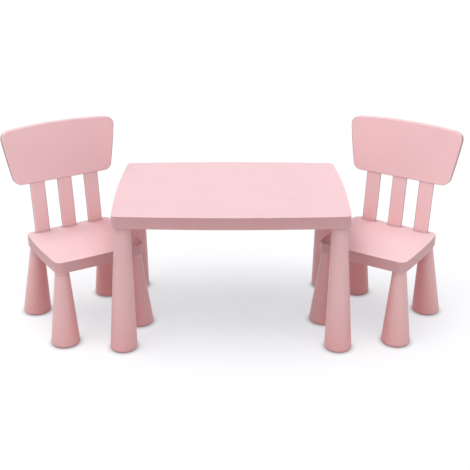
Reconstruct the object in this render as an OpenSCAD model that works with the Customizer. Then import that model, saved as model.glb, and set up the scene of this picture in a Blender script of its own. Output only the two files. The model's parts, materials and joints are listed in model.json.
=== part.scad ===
// Children's table with two matching chairs, all in moulded plastic.
//
// Millimetres, with Z up. The origin is on the floor under the middle of the table,
// X runs along the table and Y from its front edge to its back edge. A chair is drawn
// about the floor point under the middle of its seat, with its sitter facing -Y, and is
// then set at its place by the table. Left is -X and front is -Y on the table and on a
// chair alike.
//
// Every top is an open-bottomed shell closed by an underside panel. A hollow conical leg
// plugs into a socket of the panel, and one screw inside the leg clamps the leg and the
// panel to a boss of the shell. A foot cap closes the bottom of each leg. A chair's three
// slats stand on its seat with tenons through it, and end inside a hollow backrest.

/* [Table top] */
// Length of the table top, end to end
table_length = 770; // [700:5:900]
// Depth of the table top, front to back
table_depth = 551; // [500:1:620]
// Height of the table top's surface above the floor
table_height = 481.5; // [440:0.5:520]
// Height of the table top's skirt
table_skirt = 41.5; // [40:0.5:48]
// How far each end of the table top bows outward
table_end_bow = 9; // [0:0.5:14]
// How far the front and back edges of the table top bow outward
table_side_bow = 11; // [0:0.5:16]
// Radius of the table top's corners
table_corner_r = 16.5; // [14:0.5:24]

/* [Table legs] */
// Distance of a leg's top from the table's middle, along the length
table_leg_x = 344; // [330:0.5:346]
// Distance of a leg's top from the table's middle, across the depth
table_leg_y = 232; // [215:0.5:235]
// How much further out along the length a leg's foot stands than its top
table_splay_x = 13; // [0:0.5:20]
// How much further out across the depth a leg's foot stands than its top
table_splay_y = 1.5; // [0.5:0.5:15]
// Radius of a table leg at the skirt
table_leg_top_r = 25; // [24:0.5:28]
// Radius of a table leg at its foot cap
table_leg_base_r = 45; // [38:0.5:50]

/* [Seat] */
// Height of the seat above the floor
seat_height = 302; // [270:1:330]
// Height of the seat's skirt
seat_skirt = 39; // [38:0.5:44]
// Width of the seat at its front edge
seat_front_w = 323.5; // [316:0.5:345]
// Width of the seat at its rear edge
seat_rear_w = 321; // [310:0.5:330]
// Depth of the seat, front to rear
seat_depth = 301; // [298:1:320]
// Radius of the seat's corners
seat_corner_r = 25.5; // [20:0.5:32]
// How far the sides of the seat bow outward
seat_side_bow = 4; // [0:0.5:8]
// How far the front edge of the seat bows outward
seat_front_bow = 2; // [0:0.5:6]

/* [Chair legs] */
// Distance of a front leg's top from the seat's middle, sideways
front_leg_x = 131; // [124:0.5:132]
// Distance of a front leg's top from the seat's middle, forwards
front_leg_y = 120; // [112:0.5:122]
// How much further out sideways a front leg's foot stands than its top
front_splay_x = 7.3; // [2:0.1:14]
// How much further forwards a front leg's foot stands than its top
front_splay_y = 6.7; // [0:0.1:14]
// Distance of a rear leg's top from the seat's middle, sideways
rear_leg_x = 126.5; // [125:0.5:128]
// Distance of a rear leg's top from the seat's middle, rearwards
rear_leg_y = 123.5; // [112:0.5:125]
// How much further out sideways a rear leg's foot stands than its top
rear_splay_x = 12.5; // [2:0.1:16]
// How much further rearwards a rear leg's foot stands than its top
rear_splay_y = 20; // [0:0.5:22]
// Radius of a chair leg at the skirt
chair_leg_top_r = 22.5; // [21:0.5:25]
// Radius of a chair leg at its foot cap
chair_leg_base_r = 48; // [40:0.5:52]
// Length of the collar that shows between the seat's skirt and a leg
chair_collar = 6; // [3:0.5:10]

/* [Backrest] */
// How far the slats and the backrest lean back from upright
back_lean = 5.7; // [3:0.1:10]
// Distance of the slats' front faces from the seat's rear edge
slat_setback = 22.5; // [18:0.5:26]
// Width of a slat
slat_w = 51.5; // [40:0.5:56]
// Thickness of a slat
slat_t = 12; // [10:0.2:14]
// Distance between the middles of neighbouring slats
slat_pitch = 98.5; // [92:0.5:100]
// Length of slat that shows between the seat and the backrest
slat_reach = 180; // [150:1:200]
// Width of the backrest at its lower edge
back_lower_w = 362; // [330:0.5:370]
// Width of the backrest at its upper edge
back_upper_w = 407; // [372:0.5:420]
// Height of the backrest along its lean
back_h = 200; // [170:1:220]
// Thickness of the backrest
back_t = 24; // [23:0.5:28]
// How far the backrest stands in front of the slats
back_proud = 2.5; // [2.5:0.1:4]
// How far the upper edge of the backrest bows upward
back_top_bow = 8.5; // [0:0.5:14]
// Radius of the backrest's corners
back_corner_r = 29; // [20:0.5:40]

/* [Chairs' places] */
// Distance of the left chair from the table's middle, along the length
left_chair_x = 505; // [500:1:560]
// How far forward of the table's middle the left chair stands
left_chair_forward = 20; // [0:0.5:25]
// How far the left chair is turned from facing the table's front
left_chair_turn = 31.4; // [28:0.2:34]
// Distance of the right chair from the table's middle, along the length
right_chair_x = 511.5; // [505:0.5:560]
// How far forward of the table's middle the right chair stands
right_chair_forward = 14.5; // [0:0.5:25]
// How far the right chair is turned from facing the table's front
right_chair_turn = 33.6; // [30:0.2:35]

/* [Moulding] */
// Wall thickness of the skirts, legs and slats
wall = 2.5; // [2:0.1:3]
// Thickness of the table's and the seats' upper faces
top_wall = 3.5; // [3:0.1:4]
// How much each side of a skirt draws in from top to bottom
draft = 0.8; // [0.5:0.1:2.5]
// Radius of the rounded upper edge of the tops
top_edge_r = 1; // [1:0.5:4]
// Radius of the rounded edge round the front of a backrest
back_edge_r = 3.5; // [3:0.5:6]
// Clearance between pieces that fit into each other
gap = 0.3; // [0.2:0.05:0.4]

/* [Hidden] */
big = 1000;
thin = 0.1;
overlap = 1;
rib_t = 2;
side_steps = 10;
corner_steps = 5;
edge_steps = 3;
turned_sides = 96;
socket_sides = 64;
screw_sides = 32;
drive_sides = 6;
pink = [0.95, 0.77, 0.79];
rose = [0.88, 0.67, 0.68];
steel = [0.75, 0.76, 0.78];

// Underside panels, counted up from the bottom edge of the skirt
panel_t = 3;
panel_recess = 4;
panel_top = panel_recess + panel_t;

// Ribs, counted from the middle of their top
table_rib_step_x = 110;
table_rib_step_y = 100;
seat_rib_x = 45;

// Leg sockets and screws, counted along the leg from the bottom edge of the skirt
spigot_top = 21.5;
spigot_end = 3;
socket_end = 3;
socket_top = spigot_top + gap + socket_end;
chair_spigot_r = 15;
table_spigot_r = 18;
boss_r = 6.5;
collar_lip = 2;
screw_r = 2.4;
screw_clearance = 0.2;
screw_head_r = 4.8;
screw_head_h = 2.4;
screw_drive_r = 2;
screw_drive_depth = 1.5;
screw_bite = 8.5;
pilot_clearance = 0.1;
pilot_end = 0.5;

// Foot caps
foot_h = 9;
foot_edge_r = 7;
foot_plug_h = 7;
foot_plug_gap = 2;

// Slats, tenons and backrest
slat_edge_r = 3.5;
tenon_w = 28;
tenon_inset = 11;
tenon_cup_h = 8;
slat_plug_h = 14;
slat_grip = 40;
slat_screw_l = 20;
back_side_bow = 1;
back_cover_t = 5;
back_cover_edge_r = 3;
back_rim_h = 3;
back_rim_t = 2;
back_pad_rise = 12;

table_skirt_z = table_height - table_skirt;
seat_skirt_z = seat_height - seat_skirt;
slat_y = seat_depth / 2 - slat_setback;
back_front_wall = back_proud - 2 * gap;
back_shell_t = back_t - back_cover_t;

table_shape = bowed_shape(table_length, table_length, table_depth,
                          [table_side_bow, table_end_bow, table_side_bow], table_corner_r);
seat_shape = bowed_shape(seat_front_w, seat_rear_w, seat_depth,
                         [seat_front_bow, seat_side_bow, 0], seat_corner_r);
back_shape = bowed_shape(back_lower_w, back_upper_w, back_h, [0, back_side_bow, back_top_bow],
                         back_corner_r);
slat_shape = bowed_shape(slat_w, slat_w, slat_t, [0, 0, 0], slat_edge_r);

CORNERS = [["front_left", -1, -1], ["front_right", 1, -1], ["rear_left", -1, 1], ["rear_right", 1, 1]];
SLATS = [["left", -1], ["middle", 0], ["right", 1]];
CHAIRS = [["left_chair", [-left_chair_x, -left_chair_forward], left_chair_turn],
          ["right_chair", [right_chair_x, -right_chair_forward], -right_chair_turn]];
CHAIR_PARTS = concat(["seat", "seat_underside", "leg_screws", "backrest_front", "backrest_rear",
                      "slat_screws"],
                     [for (c = CORNERS) str(c[0], "_leg")],
                     [for (c = CORNERS) str(c[0], "_foot_cap")],
                     [for (s = SLATS) str(s[0], "_slat")]);
NODES = concat(["table_top", "table_underside", "table_leg_screws"],
               [for (c = CORNERS) str("table_", c[0], "_leg")],
               [for (c = CORNERS) str("table_", c[0], "_foot_cap")],
               [for (chair = CHAIRS) for (part = CHAIR_PARTS) str(chair[0], "_", part)]);
node = "all";

// ---- Outlines ----

// A four-cornered shape: its corner arcs' centres, its sides' bows and its corner radius.
// The bows are those of the front, of both sides and of the rear.
function bowed_shape(front_w, rear_w, depth, bows, r) =
    let (front_x = front_w / 2 - bows[1] - r,
         rear_x = rear_w / 2 - bows[1] - r,
         front_y = -depth / 2 + bows[0] + r,
         rear_y = depth / 2 - bows[2] - r)
    [[[-front_x, front_y], [front_x, front_y], [rear_x, rear_y], [-rear_x, rear_y]],
     [bows[0], bows[1], bows[2], bows[1]],
     r];

// The angle by which a side's outward normal has turned at its far end
function end_lean(a, b, bow) = atan(4 * bow / norm(b - a));

// The direction of a straight line from a to b
function heading(a, b) = atan2(b.y - a.y, b.x - a.x);

// The points along one bowed side, a distance r outside the line from a to b
function side_points(a, b, bow, r) =
    let (length = norm(b - a),
         along = (b - a) / length,
         out = [along.y, -along.x],
         steps = bow > 0 ? side_steps : 1)
    [for (i = [0:steps])
        let (t = i / steps,
             lean = atan(4 * bow * (2 * t - 1) / length))
        a + along * length * t + out * 4 * bow * t * (1 - t)
            + r * (out * cos(lean) + along * sin(lean))];

// The points of the corner arc at b, between the sides a-b and b-c, without its ends
function corner_points(a, b, c, bow_before, bow_after, r) =
    let (first = heading(a, b) - 90 + end_lean(a, b, bow_before),
         last = heading(b, c) - 90 - end_lean(b, c, bow_after),
         sweep = (last - first + 720) % 360)
    [for (i = [1:corner_steps - 1])
        b + r * [cos(first + sweep * i / corner_steps), sin(first + sweep * i / corner_steps)]];

// The whole outline of a shape, moved outward by grow
function outline(shape, grow) =
    let (p = shape[0], bows = shape[1], r = shape[2] + grow)
    [for (i = [0:3])
        let (a = p[i], b = p[(i + 1) % 4], c = p[(i + 2) % 4])
        each concat(side_points(a, b, bows[i], r),
                    corner_points(a, b, c, bows[i], bows[(i + 1) % 4], r))];

// ---- Shared solids ----

// A straight block with a shape's outline
module prism(shape, height, grow) {
    linear_extrude(height)
        polygon(outline(shape, grow));
}

// A block whose sides draw in towards the bottom and whose upper edge is rounded
module slab(shape, height, side_draft, edge_r) {
    hull() {
        prism(shape, thin, -side_draft);
        for (i = [0:edge_steps])
            translate([0, 0, height - edge_r * (1 - sin(90 * i / edge_steps)) - thin])
                prism(shape, thin, -edge_r * (1 - cos(90 * i / edge_steps)));
    }
}

// The space inside a shell, below its upper face
module shell_space(shape, skirt) {
    translate([0, 0, -thin])
        prism(shape, skirt - top_wall + thin, -wall - draft);
}

// An underside panel, without its sockets
module panel(shape) {
    translate([0, 0, panel_recess])
        prism(shape, panel_t, -wall - draft - gap);
}

// Moves to where a leg's axis meets the bottom edge of the skirt, with Z up the leg
module on_leg(top, foot, skirt_z) {
    splay = foot - top;
    lean = atan(norm(splay) / (skirt_z - foot_h));
    translate([top.x, top.y, skirt_z])
        rotate([0, 0, atan2(splay.y, splay.x)])
            rotate([0, -lean, 0])
                children();
}

// The boss of a shell that a leg's screw bites into
module leg_boss(skirt) {
    translate([0, 0, socket_top])
        cylinder(h = skirt - top_wall + overlap - socket_top, r = boss_r, $fn = screw_sides);
}

// The screw's hole in that boss
module leg_boss_bore() {
    translate([0, 0, socket_top - overlap])
        cylinder(h = overlap + screw_bite + pilot_end, r = screw_r + pilot_clearance,
                 $fn = screw_sides);
}

// The outside of a leg's socket
module socket(spigot_r) {
    cylinder(h = socket_top, r = spigot_r + gap + wall, $fn = socket_sides);
}

// The collar round a socket's mouth, which the leg's shoulder meets
module collar(collar_r, drop) {
    translate([0, 0, -drop])
        cylinder(h = drop + panel_top, r = collar_r, $fn = socket_sides);
}

// The hollow of a leg's socket, with the screw's hole through its end
module socket_bore(spigot_r, drop) {
    translate([0, 0, -drop - overlap])
        cylinder(h = drop + overlap + spigot_top + gap, r = spigot_r + gap, $fn = socket_sides);
    cylinder(h = socket_top + overlap, r = screw_r + screw_clearance, $fn = screw_sides);
}

// What a panel may fill: anything below the skirt, and only the shell's inside above its edge
module clear_of_skirt(shape, skirt_z) {
    translate([-big / 2, -big / 2, skirt_z - gap - big])
        cube(big);
    translate([0, 0, skirt_z - overlap])
        prism(shape, panel_top, -wall - draft - gap);
}

// A hollow conical leg on its own axis, longer than needed at the bottom
module leg_cone(top_r, base_r, length, spigot_r, drop) {
    spread = (base_r - top_r) / length;
    bottom = -length - foot_h;
    step = -drop - wall;
    rotate_extrude($fn = turned_sides)
        polygon([
            [top_r - spread * bottom, bottom],
            [top_r + spread * drop, -drop],
            [spigot_r, -drop],
            [spigot_r, spigot_top],
            [screw_r + screw_clearance, spigot_top],
            [screw_r + screw_clearance, spigot_top - spigot_end],
            [spigot_r - wall, spigot_top - spigot_end],
            [spigot_r - wall, step],
            [top_r - spread * step - wall, step],
            [top_r - spread * bottom - wall, bottom]
        ]);
}

// A leg in its place, cut level where its foot cap begins
module leg(top, foot, skirt_z, top_r, base_r, spigot_r, drop) {
    length = norm([foot.x - top.x, foot.y - top.y, skirt_z - foot_h]);
    color(rose)
        difference() {
            on_leg(top, foot, skirt_z)
                leg_cone(top_r, base_r, length, spigot_r, drop);
            translate([foot.x - big / 2, foot.y - big / 2, foot_h - big])
                cube(big);
        }
}

// A cup-shaped foot cap with a rounded lower edge and a plug inside the leg
module foot_cap(foot, base_r) {
    plug_r = base_r - wall - foot_plug_gap;
    edge = [for (a = [0:15:90])
        [base_r - foot_edge_r * (1 - sin(a)), foot_edge_r * (1 - cos(a))]];
    color(rose)
        translate([foot.x, foot.y, 0])
            rotate_extrude($fn = turned_sides)
                polygon(concat([[0, 0]], edge, [
                    [base_r, foot_h],
                    [plug_r, foot_h],
                    [plug_r, foot_h + foot_plug_h],
                    [plug_r - wall, foot_h + foot_plug_h],
                    [plug_r - wall, wall],
                    [0, wall]
                ]));
}

// A screw with its head's underside at Z = 0 and its shank upward
module screw(length) {
    color(steel)
        difference() {
            union() {
                cylinder(h = length, r = screw_r, $fn = screw_sides);
                translate([0, 0, -screw_head_h])
                    cylinder(h = screw_head_h, r = screw_head_r, $fn = screw_sides);
            }
            translate([0, 0, -screw_head_h - overlap])
                cylinder(h = overlap + screw_drive_depth, r = screw_drive_r, $fn = drive_sides);
        }
}

// The screw inside a leg
module leg_screw() {
    seat_face = spigot_top - spigot_end;
    translate([0, 0, seat_face])
        screw(socket_top - seat_face + screw_bite);
}

// ---- Table ----

function table_leg_top(x_side, y_side) = [x_side * table_leg_x, y_side * table_leg_y];
function table_leg_foot(x_side, y_side) =
    table_leg_top(x_side, y_side) + [x_side * table_splay_x, y_side * table_splay_y];

// Moves to one of the table's leg axes
module on_table_leg(corner) {
    on_leg(table_leg_top(corner[1], corner[2]), table_leg_foot(corner[1], corner[2]), table_skirt_z)
        children();
}

// Stiffening ribs under the table's surface
module table_ribs() {
    rib_h = table_skirt - panel_top - gap;
    for (i = [-2:2])
        translate([i * table_rib_step_x - rib_t / 2, -table_depth / 2, panel_top + gap])
            cube([rib_t, table_depth, rib_h]);
    for (i = [-1:1])
        translate([-table_length / 2, i * table_rib_step_y - rib_t / 2, panel_top + gap])
            cube([table_length, rib_t, rib_h]);
}

// Upper shell of the table
module table_top() {
    color(pink)
        difference() {
            translate([0, 0, table_skirt_z])
                slab(table_shape, table_skirt, draft, top_edge_r);
            difference() {
                translate([0, 0, table_skirt_z])
                    shell_space(table_shape, table_skirt);
                translate([0, 0, table_skirt_z])
                    table_ribs();
                for (corner = CORNERS)
                    on_table_leg(corner)
                        leg_boss(table_skirt);
            }
            for (corner = CORNERS)
                on_table_leg(corner)
                    leg_boss_bore();
        }
}

// Panel that closes the table from below and carries its leg sockets
module table_underside() {
    color(pink)
        difference() {
            union() {
                translate([0, 0, table_skirt_z])
                    panel(table_shape);
                for (corner = CORNERS)
                    on_table_leg(corner) {
                        socket(table_spigot_r);
                        collar(table_leg_top_r, 0);
                    }
            }
            for (corner = CORNERS)
                on_table_leg(corner)
                    socket_bore(table_spigot_r, 0);
        }
}

// One leg of the table
module table_leg(corner) {
    leg(table_leg_top(corner[1], corner[2]), table_leg_foot(corner[1], corner[2]), table_skirt_z,
        table_leg_top_r, table_leg_base_r, table_spigot_r, 0);
}

// The four screws inside the table's legs
module table_leg_screws() {
    for (corner = CORNERS)
        on_table_leg(corner)
            leg_screw();
}

// ---- Chair ----

function chair_leg_top(x_side, y_side) =
    y_side < 0 ? [x_side * front_leg_x, -front_leg_y] : [x_side * rear_leg_x, rear_leg_y];
function chair_leg_foot(x_side, y_side) =
    chair_leg_top(x_side, y_side)
    + (y_side < 0 ? [x_side * front_splay_x, -front_splay_y] : [x_side * rear_splay_x, rear_splay_y]);

// Moves to one of a chair's leg axes
module on_chair_leg(corner) {
    on_leg(chair_leg_top(corner[1], corner[2]), chair_leg_foot(corner[1], corner[2]), seat_skirt_z)
        children();
}

// Moves to the middle of the slats' front faces at the seat's surface, with Z up the slats
module on_back() {
    translate([0, slat_y, seat_height])
        rotate([-back_lean, 0, 0])
            children();
}

// Sideways place of the middle of a slat's tenon
function tenon_x(side) = side * (slat_pitch - tenon_inset);

// A tenon, or with grow the space that it passes through, cut level at the panel's top
module tenon(side, grow) {
    difference() {
        on_back()
            translate([tenon_x(side) - tenon_w / 2 - grow, -grow, -seat_skirt])
                cube([tenon_w + 2 * grow, slat_t + 2 * grow, seat_skirt + overlap]);
        translate([-big / 2, -big / 2, seat_skirt_z + panel_top - big])
            cube(big);
    }
}

// Stiffening ribs under the seat's surface
module seat_ribs() {
    rib_h = seat_skirt - panel_top - gap;
    for (side = [-1, 1])
        translate([side * seat_rib_x - rib_t / 2, -seat_depth / 2, panel_top + gap])
            cube([rib_t, seat_depth, rib_h]);
    translate([-seat_front_w / 2, -rib_t / 2, panel_top + gap])
        cube([seat_front_w, rib_t, rib_h]);
}

// Upper shell of a seat, with slots for the slats' tenons
module seat() {
    color(pink)
        difference() {
            translate([0, 0, seat_skirt_z])
                slab(seat_shape, seat_skirt, draft, top_edge_r);
            difference() {
                translate([0, 0, seat_skirt_z])
                    shell_space(seat_shape, seat_skirt);
                translate([0, 0, seat_skirt_z])
                    seat_ribs();
                for (corner = CORNERS)
                    on_chair_leg(corner)
                        leg_boss(seat_skirt);
            }
            for (corner = CORNERS)
                on_chair_leg(corner)
                    leg_boss_bore();
            for (s = SLATS)
                tenon(s[1], gap);
        }
}

// The rim of the cup that holds a tenon's foot on the underside panel
module tenon_cup(side) {
    cup_wall = gap + rib_t;
    depth = seat_skirt - panel_top;
    front_y = slat_y - depth * tan(back_lean) - cup_wall;
    rear_y = slat_y + slat_t - (depth - tenon_cup_h) * tan(back_lean) + cup_wall;
    translate([tenon_x(side) - tenon_w / 2 - cup_wall, front_y, seat_height - depth - overlap])
        cube([tenon_w + 2 * cup_wall, rear_y - front_y, tenon_cup_h + overlap]);
}

// The hole in the underside panel for a slat's screw
module slat_screw_hole(side) {
    on_back()
        translate([tenon_x(side), slat_t / 2, -seat_skirt])
            cylinder(h = 2 * panel_top, r = screw_r + screw_clearance, $fn = screw_sides);
}

// Panel that closes a seat from below and carries its leg sockets
module seat_underside() {
    color(pink)
        difference() {
            union() {
                translate([0, 0, seat_skirt_z])
                    panel(seat_shape);
                for (corner = CORNERS)
                    on_chair_leg(corner)
                        socket(chair_spigot_r);
                intersection() {
                    for (corner = CORNERS)
                        on_chair_leg(corner)
                            collar(chair_leg_top_r + collar_lip, chair_collar);
                    clear_of_skirt(seat_shape, seat_skirt_z);
                }
                for (s = SLATS)
                    tenon_cup(s[1]);
            }
            for (corner = CORNERS)
                on_chair_leg(corner)
                    socket_bore(chair_spigot_r, chair_collar);
            for (s = SLATS)
                tenon(s[1], gap);
            for (s = SLATS)
                slat_screw_hole(s[1]);
        }
}

// One leg of a chair
module chair_leg(corner) {
    leg(chair_leg_top(corner[1], corner[2]), chair_leg_foot(corner[1], corner[2]), seat_skirt_z,
        chair_leg_top_r, chair_leg_base_r, chair_spigot_r, chair_collar);
}

// The four screws inside a chair's legs
module chair_leg_screws() {
    for (corner = CORNERS)
        on_chair_leg(corner)
            leg_screw();
}

// One slat: a flat tube that stands on the seat, with a solid tenon below
module slat(side) {
    tube_h = slat_reach + slat_grip;
    color(rose)
        difference() {
            union() {
                difference() {
                    on_back()
                        translate([side * slat_pitch, slat_t / 2, -overlap])
                            prism(slat_shape, tube_h + overlap, 0);
                    translate([-big / 2, -big / 2, seat_height - big])
                        cube(big);
                    on_back()
                        translate([side * slat_pitch, slat_t / 2, slat_plug_h])
                            prism(slat_shape, tube_h, -wall);
                }
                tenon(side, 0);
            }
            slat_screw_bore(side);
        }
}

// Where the underside of a slat screw's head is, counted up the slat from the seat's surface
function slat_screw_z() =
    (slat_t / 2 * sin(back_lean) - seat_skirt + panel_recess) / cos(back_lean)
    - screw_head_r * tan(back_lean) - gap;

// The pilot hole in a tenon for its screw
module slat_screw_bore(side) {
    on_back()
        translate([tenon_x(side), slat_t / 2, slat_screw_z()])
            cylinder(h = slat_screw_l + pilot_end, r = screw_r + pilot_clearance, $fn = screw_sides);
}

// The three screws that hold the tenons from below the seat
module slat_screws() {
    for (s = SLATS)
        on_back()
            translate([tenon_x(s[1]), slat_t / 2, slat_screw_z()])
                screw(slat_screw_l);
}

// Moves to the middle of the backrest's lower edge, in the plane where its halves meet
module on_backrest() {
    on_back()
        translate([0, back_shell_t - back_proud, slat_reach + back_h / 2])
            rotate([90, 0, 0])
                children();
}

// Front shell of a backrest, with slots for the slats in its lower wall
module backrest_front() {
    color(rose)
        difference() {
            on_backrest()
                slab(back_shape, back_shell_t, 0, back_edge_r);
            on_backrest()
                translate([0, 0, -thin])
                    prism(back_shape, back_shell_t - back_front_wall + thin, -wall);
            for (s = SLATS)
                on_back()
                    translate([s[1] * slat_pitch, slat_t / 2, slat_reach - overlap])
                        prism(slat_shape, wall + 2 * overlap, gap);
        }
}

// Rear cover of a backrest, with a rim inside the shell and pads behind the slats
module backrest_rear() {
    pad_h = back_shell_t - back_proud - slat_t - gap;
    color(rose)
        union() {
            on_backrest()
                mirror([0, 0, 1])
                    slab(back_shape, back_cover_t, 0, back_cover_edge_r);
            on_backrest()
                difference() {
                    prism(back_shape, back_rim_h, -wall - gap);
                    translate([0, 0, -thin])
                        prism(back_shape, back_rim_h + 1, -wall - gap - back_rim_t);
                }
            for (s = SLATS)
                on_backrest()
                    translate([s[1] * slat_pitch - slat_w / 4, back_pad_rise - back_h / 2, 0])
                        cube([slat_w / 2, slat_grip / 2, pad_h]);
        }
}

// ---- The parts that are drawn ----

function wanted(name) = node == "all" || node == name;

if (wanted("table_top")) table_top();
if (wanted("table_underside")) table_underside();
if (wanted("table_leg_screws")) table_leg_screws();
for (corner = CORNERS) {
    if (wanted(str("table_", corner[0], "_leg"))) table_leg(corner);
    if (wanted(str("table_", corner[0], "_foot_cap")))
        foot_cap(table_leg_foot(corner[1], corner[2]), table_leg_base_r);
}
for (chair = CHAIRS)
    translate([chair[1].x, chair[1].y, 0])
        rotate([0, 0, chair[2]]) {
            if (wanted(str(chair[0], "_seat"))) seat();
            if (wanted(str(chair[0], "_seat_underside"))) seat_underside();
            if (wanted(str(chair[0], "_leg_screws"))) chair_leg_screws();
            if (wanted(str(chair[0], "_slat_screws"))) slat_screws();
            if (wanted(str(chair[0], "_backrest_front"))) backrest_front();
            if (wanted(str(chair[0], "_backrest_rear"))) backrest_rear();
            for (corner = CORNERS) {
                if (wanted(str(chair[0], "_", corner[0], "_leg"))) chair_leg(corner);
                if (wanted(str(chair[0], "_", corner[0], "_foot_cap")))
                    foot_cap(chair_leg_foot(corner[1], corner[2]), chair_leg_base_r);
            }
            for (s = SLATS)
                if (wanted(str(chair[0], "_", s[0], "_slat"))) slat(s[1]);
        }
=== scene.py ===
"""Looks for the kids table and chairs: pale pink moulded plastic in a white studio.

Every length is in metres, in the CAD's frame: the floor is z = 0, X runs along the table
and Y from its front edge to its back edge.
"""
import json
import math

import bpy
from mathutils import Euler, Matrix, Vector

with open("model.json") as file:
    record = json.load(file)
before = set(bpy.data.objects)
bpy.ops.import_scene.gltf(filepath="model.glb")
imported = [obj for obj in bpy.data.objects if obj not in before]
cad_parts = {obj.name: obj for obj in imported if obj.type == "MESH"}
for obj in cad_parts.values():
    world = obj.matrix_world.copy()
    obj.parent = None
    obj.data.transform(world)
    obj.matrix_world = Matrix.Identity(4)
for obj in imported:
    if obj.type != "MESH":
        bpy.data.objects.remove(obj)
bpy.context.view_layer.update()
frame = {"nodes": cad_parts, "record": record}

# Camera, as the photograph was taken
LENS_MM = 65.96
SENSOR_MM = 36
CAMERA_PLACE = (-0.0144, -2.7447, 1.4787)
CAMERA_DOWN_DEG = 21.90
CAMERA_TURN_DEG = 0.38
CAMERA_ROLL_DEG = 0.14
CAMERA_SHIFT = (0.0065, -0.0391)

# Studio floor: its size, its paper, and its glow in the open and next to a foot, where the dimmer
# glow is a painted contact shadow
FLOOR_SIZE = 30
FLOOR_STEPS = 24
FLOOR_PAPER = (0.38, 0.35, 0.345)
FLOOR_ROUGHNESS = 0.85
FLOOR_SPECULAR = 0.2
FLOOR_TOOTH_SIZE = 0.003
FLOOR_TOOTH_DEPTH = 0.00005
FLOOR_GLOW = (0.89, 0.96, 1.0)
FLOOR_GLOW_STRENGTH = 0.60
FLOOR_CONTACT_SHADE_STRENGTH = 0.30
CONTACT_SHADE_REACH = 0.018

# Plastic and steel, as linear colours. The plastic is one pink, and these pinks are lit and shaded
# copies of it: the darker skirt pink is painted shade on upright faces, and the legs, backs and
# undersides differ from the tops as painted light and shade
TOP_PINK = (0.78, 0.535, 0.56)
SKIRT_SHADE_PINK = (0.51, 0.27, 0.275)
LEG_PINK = (0.68, 0.41, 0.415)
BACK_PINK = (0.86, 0.53, 0.545)
UNDER_PINK = (0.84, 0.53, 0.545)
STEEL = (0.60, 0.61, 0.63)

# What the plastic's colours are multiplied by as they drift at random, as painted shade where they
# look down, are closed in and creased, as pale specks, and as wear and painted highlight along
# edges
PALE_DRIFT = 1.015
DARK_DRIFT = 0.975
DOWNWARD_SHADE_TONE = 0.3
SHELTER_SHADE_TONE = (0.88, 0.50, 0.50)
CREASE_SHADE_TONE = 0.35
SPECK_TONE = 1.05
RUBBED_HIGHLIGHT_TONE = 1.10

# How far a surface faces up, from -1 to 1, where its painted light and shade changes: pale tops,
# darker upright faces, darker faces that look down
UPRIGHT_UP_TO = 0.3
TOP_FROM = 0.8
DOWNWARD_UP_TO = -0.75
DOWNWARD_ENDS = -0.15

# How far a surface faces along X, from 0 to 1, where the painted shade on a narrow side starts and
# is full
EDGEWAYS_FROM = 0.62
EDGEWAYS_FULL = 0.78

# Sizes of the plastic's detail, and of the space that closes a surface in for the painted shade in
# hollows and creases
DRIFT_SIZE = 0.14
RIPPLE_SIZE = 0.045
RIPPLE_DEPTH = 0.0004
SCUFF_SIZE = 0.02
SCUFF_STRETCH = (1, 0.25, 1)
SPECK_SIZE = 0.0011
GRAIN_SIZE = 0.0007
GRAIN_STRENGTH = 0.6
SHELTER_REACH = 0.42
SHELTER_RANGE = 0.5
CREASE_REACH = 0.014

# Light in the plastic
PLASTIC_IOR = 1.49
SCATTER_WEIGHT = 0.06
SCATTER_COLOUR = (1.0, 0.45, 0.45)
SCATTER_DEPTH = 0.004

# Fine lines turned in the steel
LINE_SIZE = 0.0006
LINE_DEPTH = 0.00002
LINE_STRETCH = (1, 1, 0.1)

# The small radius on every sharp edge, the angle that counts as sharp, and the gap and angle
# below which a CAD piece's points and faces are joined
EDGE_RADIUS = 0.0005
SHARP_ANGLE = math.radians(35)
WELD_GAP = 0.00001
FLAT_ANGLE = math.radians(0.5)


# ---- Node material helpers ----


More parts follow.
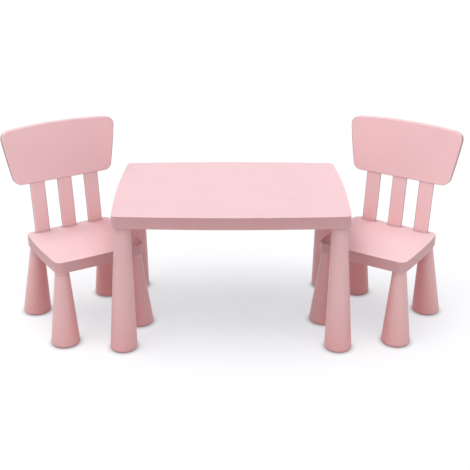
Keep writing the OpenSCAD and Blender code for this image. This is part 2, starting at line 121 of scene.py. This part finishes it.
class Shader:
    """A new material with its Principled shader, and short calls that add nodes to it."""

    def __init__(self, name):
        self.material = bpy.data.materials.new(name)
        self.material.use_nodes = True
        self.tree = self.material.node_tree
        self.principled = self.tree.nodes["Principled BSDF"]
        self.place = self.add("ShaderNodeTexCoord").outputs["Object"]

    def add(self, kind, **settings):
        """A node of that kind, with its settings."""
        node = self.tree.nodes.new(kind)
        for key, value in settings.items():
            setattr(node, key, value)
        return node

    def join(self, output, target):
        """Links an output to an input."""
        self.tree.links.new(output, target)

    def stretched(self, scale):
        """The object's coordinates, stretched by scale along X, Y and Z."""
        mapping = self.add("ShaderNodeMapping")
        mapping.inputs["Scale"].default_value = scale
        self.join(self.place, mapping.inputs["Vector"])
        return mapping.outputs["Vector"]

    def noise(self, size, detail=2, place=None):
        """Noise whose features are about size metres across."""
        node = self.add("ShaderNodeTexNoise")
        node.inputs["Scale"].default_value = 1 / size
        node.inputs["Detail"].default_value = detail
        self.join(place or self.place, node.inputs["Vector"])
        return node.outputs["Fac"]

    def spread(self, value, low, high, to_low=0, to_high=1):
        """The value mapped from low..high to to_low..to_high, and held there."""
        node = self.add("ShaderNodeMapRange")
        for key, number in (
            ("From Min", low),
            ("From Max", high),
            ("To Min", to_low),
            ("To Max", to_high),
        ):
            node.inputs[key].default_value = number
        self.join(value, node.inputs["Value"])
        return node.outputs["Result"]

    def mix(self, factor, first, second):
        """A colour between first and second, each a colour or a node's output."""
        node = self.add("ShaderNodeMix", data_type="RGBA")
        self.join(factor, node.inputs["Factor"])
        for socket, colour in (("A", first), ("B", second)):
            target = [s for s in node.inputs if s.name == socket and s.type == "RGBA"][0]
            if isinstance(colour, tuple):
                target.default_value = (*colour, 1)
            else:
                self.join(colour, target)
        return [s for s in node.outputs if s.type == "RGBA"][0]

    def facing(self):
        """How far the surface faces along X, along Y and up."""
        parts = self.add("ShaderNodeSeparateXYZ")
        self.join(self.add("ShaderNodeNewGeometry").outputs["Normal"], parts.inputs["Vector"])
        return parts.outputs

    def size_of(self, value):
        """The value without its sign."""
        node = self.add("ShaderNodeMath", operation="ABSOLUTE")
        self.join(value, node.inputs[0])
        return node.outputs[0]

    def openness(self, reach):
        """1 in the open, falling towards 0 as surfaces within reach metres close in."""
        node = self.add("ShaderNodeAmbientOcclusion", samples=8)
        node.inputs["Distance"].default_value = reach
        return node.outputs["AO"]

    def bump(self, height, distance, strength=1, below=None):
        """Bump of that depth in metres, on top of the bump below."""
        node = self.add("ShaderNodeBump")
        node.inputs["Distance"].default_value = distance
        node.inputs["Strength"].default_value = strength
        self.join(height, node.inputs["Height"])
        if below:
            self.join(below, node.inputs["Normal"])
        return node.outputs["Normal"]

    def output(self, socket, value):
        """Sets one of the Principled shader's sockets, from a number or a node."""
        target = self.principled.inputs[socket]
        if hasattr(value, "is_linked"):
            self.join(value, target)
        else:
            target.default_value = value


def tinted(colour, factor):
    """The colour made lighter or darker by a factor."""
    return tuple(min(1, channel * factor) for channel in colour)


def moulded_tone(shader, pink, side_pink, edge_shade):
    """The plastic's tone with painted light and shade: pink where it faces up, side_pink where it
    stands upright.

    The two are one plastic, lit and shaded by how it faces. It drifts slowly at random, and as
    painted shade it darkens where the surface looks down. A narrow-side shade below 1 also
    darkens, as painted shade, the narrow upright sides of the backrests and slats, which face
    mostly along X.
    """
    drift = shader.spread(shader.noise(DRIFT_SIZE, detail=3), low=0.3, high=0.7)
    top = shader.mix(drift, tinted(pink, DARK_DRIFT), tinted(pink, PALE_DRIFT))
    side = shader.mix(drift, tinted(side_pink, DARK_DRIFT), tinted(side_pink, PALE_DRIFT))
    along, _, upward = shader.facing()
    # Painted light and shade: tops take the pale pink, upright faces the side pink
    colour = shader.mix(shader.spread(upward, UPRIGHT_UP_TO, TOP_FROM), side, top)
    # Painted shade: faces that look down are darkened
    downward_shade = shader.spread(upward, DOWNWARD_UP_TO, DOWNWARD_ENDS, to_low=0.75, to_high=0)
    colour = shader.mix(downward_shade, colour, tinted(pink, DOWNWARD_SHADE_TONE))
    # Painted shade on the narrow upright sides
    if edge_shade < 1:
        edgeways_shade = shader.spread(shader.size_of(along), EDGEWAYS_FROM, EDGEWAYS_FULL)
        colour = shader.mix(edgeways_shade, colour, tinted(side_pink, edge_shade))
    return colour


def sheltered_shade_tone(shader, colour, pink, side_pink, enclosed):
    """The colour with painted shade: deeper where the openness is below enclosed, and darker in
    creases.
    """
    deep_shade = tuple(channel * share for channel, share in zip(side_pink, SHELTER_SHADE_TONE))
    # Painted shade: a deeper, redder tone where other surfaces close in
    around = shader.openness(SHELTER_REACH)
    shelter_shade = shader.spread(around, enclosed - SHELTER_RANGE, enclosed, to_low=0.9, to_high=0)
    colour = shader.mix(shelter_shade, colour, deep_shade)
    # Painted shade: darker in creases and joints
    nearby = shader.openness(CREASE_REACH)
    crease_shade = shader.spread(nearby, low=0.35, high=0.95, to_low=0.55, to_high=0)
    return shader.mix(crease_shade, colour, tinted(pink, CREASE_SHADE_TONE))


def worn_and_highlit_tone(shader, colour, pink):
    """The colour with fine pale specks, and paler along convex edges, partly as wear and partly as
    a painted highlight.
    """
    speck = shader.spread(shader.noise(SPECK_SIZE, detail=1), low=0.56, high=0.75, to_high=0.35)
    colour = shader.mix(speck, colour, tinted(pink, SPECK_TONE))
    # Paler along convex edges: partly wear, partly a painted highlight
    edge = shader.add("ShaderNodeNewGeometry").outputs["Pointiness"]
    rubbed_and_highlit = shader.spread(edge, low=0.515, high=0.60, to_high=0.35)
    return shader.mix(rubbed_and_highlit, colour, tinted(pink, RUBBED_HIGHLIGHT_TONE))


def moulded_plastic(name, pink, side_pink, roughness, grain, enclosed, edge_shade=1):
    """Matte moulded plastic with scuffed gloss, a slow ripple and mould grain of that depth."""
    shader = Shader(name)
    # The base colour carries painted light and shade: by facing, in hollows and creases, and as a
    # highlight along edges
    colour = moulded_tone(shader, pink, side_pink, edge_shade)
    colour = sheltered_shade_tone(shader, colour, pink, side_pink, enclosed)
    shader.output("Base Color", worn_and_highlit_tone(shader, colour, pink))
    scuffs = shader.noise(SCUFF_SIZE, detail=5, place=shader.stretched(SCUFF_STRETCH))
    smoothest = roughness - 0.05
    roughest = roughness + 0.06
    shader.output("Roughness", shader.spread(scuffs, 0.35, 0.7, smoothest, roughest))
    ripple = shader.bump(shader.noise(RIPPLE_SIZE, detail=1), RIPPLE_DEPTH)
    surface = shader.bump(shader.noise(GRAIN_SIZE), grain, GRAIN_STRENGTH, below=ripple)
    shader.output("Normal", surface)
    shader.output("IOR", PLASTIC_IOR)
    shader.output("Subsurface Weight", SCATTER_WEIGHT)
    shader.output("Subsurface Radius", SCATTER_COLOUR)
    shader.output("Subsurface Scale", SCATTER_DEPTH)
    return shader.material


def zinc_steel(name):
    """Zinc-plated steel with fine turned lines."""
    shader = Shader(name)
    lines = shader.noise(LINE_SIZE, place=shader.stretched(LINE_STRETCH))
    shader.output("Base Color", shader.mix(lines, tinted(STEEL, 0.85), tinted(STEEL, 1.1)))
    roughness = shader.spread(lines, low=0.3, high=0.7, to_low=0.28, to_high=0.42)
    shader.output("Roughness", roughness)
    shader.output("Metallic", 1)
    shader.output("Normal", shader.bump(lines, LINE_DEPTH))
    return shader.material


def floor_paper():
    """Studio paper with a faint tooth. It glows so that shadows stay pale, and less next to a foot
    as a painted contact shadow.
    """
    shader = Shader("studio_floor")
    tooth = shader.noise(FLOOR_TOOTH_SIZE, detail=3)
    shader.output("Base Color", shader.mix(tooth, tinted(FLOOR_PAPER, 0.98), FLOOR_PAPER))
    shader.output("Roughness", FLOOR_ROUGHNESS)
    shader.output("Specular IOR Level", FLOOR_SPECULAR)
    shader.output("Emission Color", (*FLOOR_GLOW, 1))
    # Painted contact shadow: the glow dims next to a foot
    beside = shader.openness(CONTACT_SHADE_REACH)
    glow = shader.spread(beside, 0.5, 1, FLOOR_CONTACT_SHADE_STRENGTH, FLOOR_GLOW_STRENGTH)
    shader.output("Emission Strength", glow)
    shader.output("Normal", shader.bump(tooth, FLOOR_TOOTH_DEPTH))
    return shader.material


MATERIALS = {
    "top_plastic": moulded_plastic(
        "top_plastic", TOP_PINK, SKIRT_SHADE_PINK, roughness=0.46, grain=0.00005, enclosed=0.70
    ),
    "underside_plastic": moulded_plastic(
        "underside_plastic", UNDER_PINK, UNDER_PINK, roughness=0.52, grain=0.00006, enclosed=0.70
    ),
    "leg_plastic": moulded_plastic(
        "leg_plastic", LEG_PINK, LEG_PINK, roughness=0.44, grain=0.00004, enclosed=0.77
    ),
    "back_plastic": moulded_plastic(
        "back_plastic",
        TOP_PINK,
        BACK_PINK,
        roughness=0.46,
        grain=0.00005,
        enclosed=0.50,
        edge_shade=0.38,
    ),
    "screw_steel": zinc_steel("screw_steel"),
}


# ---- The CAD's pieces ----


def soften(obj):
    """Gives a CAD piece a small radius on its sharp edges, and smooth shading between them."""
    for polygon in obj.data.polygons:
        polygon.use_smooth = True
    weld = obj.modifiers.new("weld", "WELD")
    weld.merge_threshold = WELD_GAP
    flat = obj.modifiers.new("flat", "DECIMATE")
    flat.decimate_type = "DISSOLVE"
    flat.angle_limit = FLAT_ANGLE
    bevel = obj.modifiers.new("bevel", "BEVEL")
    bevel.width = EDGE_RADIUS
    bevel.segments = 2
    bevel.limit_method = "ANGLE"
    bevel.angle_limit = SHARP_ANGLE
    bevel.harden_normals = False
    normals = obj.modifiers.new("normals", "WEIGHTED_NORMAL")
    normals.weight = 90
    normals.keep_sharp = True


slots = {part["node"]: part["material_slot"] for part in frame["record"]["subparts"]}
for name, obj in frame["nodes"].items():
    obj.data.materials.clear()
    obj.data.materials.append(MATERIALS[slots[name]])
    soften(obj)


# ---- Studio ----


def studio_floor():
    """A wide pale floor that ends far outside the picture."""
    half = FLOOR_SIZE / 2
    places = [-half + FLOOR_SIZE * i / FLOOR_STEPS for i in range(FLOOR_STEPS + 1)]
    corners = [(x, y, 0) for y in places for x in places]
    row = FLOOR_STEPS + 1
    faces = [
        (i + j * row, i + 1 + j * row, i + 1 + (j + 1) * row, i + (j + 1) * row)
        for j in range(FLOOR_STEPS)
        for i in range(FLOOR_STEPS)
    ]
    mesh = bpy.data.meshes.new("studio_floor")
    mesh.from_pydata(corners, [], faces)
    mesh.materials.append(floor_paper())
    floor = bpy.data.objects.new("studio_floor", mesh)
    bpy.context.scene.collection.objects.link(floor)


def softbox(name, azimuth, elevation, spread, strength):
    """Soft light from far away. Azimuth 0 is the camera's side and 90 is the right."""
    data = bpy.data.lights.new(name, "SUN")
    data.energy = strength
    data.angle = math.radians(spread)
    turn, rise = math.radians(azimuth), math.radians(elevation)
    towards = Vector(
        (
            math.sin(turn) * math.cos(rise),
            -math.cos(turn) * math.cos(rise),
            math.sin(rise),
        )
    )
    light = bpy.data.objects.new(name, data)
    light.rotation_euler = (-towards).to_track_quat("-Z", "Y").to_euler()
    bpy.context.scene.collection.objects.link(light)


def studio_world(wall_light, ceiling_light, wall_top, ceiling_edge):
    """Light from white walls all round, fading to a dimmer ceiling between two elevations."""
    world = bpy.data.worlds.new("studio")
    world.use_nodes = True
    tree = world.node_tree
    direction = tree.nodes.new("ShaderNodeTexCoord").outputs["Generated"]
    parts = tree.nodes.new("ShaderNodeSeparateXYZ")
    fade = tree.nodes.new("ShaderNodeMapRange")
    fade.inputs["From Min"].default_value = math.sin(math.radians(wall_top))
    fade.inputs["From Max"].default_value = math.sin(math.radians(ceiling_edge))
    fade.inputs["To Min"].default_value = wall_light
    fade.inputs["To Max"].default_value = ceiling_light
    background = tree.nodes["Background"]
    background.inputs["Color"].default_value = (1, 1, 1, 1)
    tree.links.new(direction, parts.inputs["Vector"])
    tree.links.new(parts.outputs["Z"], fade.inputs["Value"])
    tree.links.new(fade.outputs["Result"], background.inputs["Strength"])
    bpy.context.scene.world = world


def studio_camera():
    """The camera at the photograph's place and angle."""
    data = bpy.data.cameras.new("camera")
    data.lens = LENS_MM
    data.sensor_width = SENSOR_MM
    data.shift_x, data.shift_y = CAMERA_SHIFT
    camera = bpy.data.objects.new("camera", data)
    tilt = Euler((math.radians(90 - CAMERA_DOWN_DEG), 0, math.radians(-CAMERA_TURN_DEG)))
    roll = Matrix.Rotation(math.radians(CAMERA_ROLL_DEG), 3, "Z")
    camera.matrix_world = Matrix.LocRotScale(CAMERA_PLACE, tilt.to_matrix() @ roll, None)
    bpy.context.scene.collection.objects.link(camera)
    bpy.context.scene.camera = camera


studio_floor()
studio_world(wall_light=1.0, ceiling_light=0.15, wall_top=12, ceiling_edge=25)
softbox("overhead", azimuth=0, elevation=88, spread=50, strength=1.35)
softbox("key", azimuth=-80, elevation=64, spread=40, strength=1.10)
softbox("front_left", azimuth=-35, elevation=52, spread=40, strength=0.26)
softbox("front_right", azimuth=30, elevation=58, spread=40, strength=0.62)
softbox("back_fill", azimuth=-140, elevation=50, spread=40, strength=0.25)
studio_camera()

view = bpy.context.scene.view_settings
view.view_transform = "Standard"
view.look = "None"
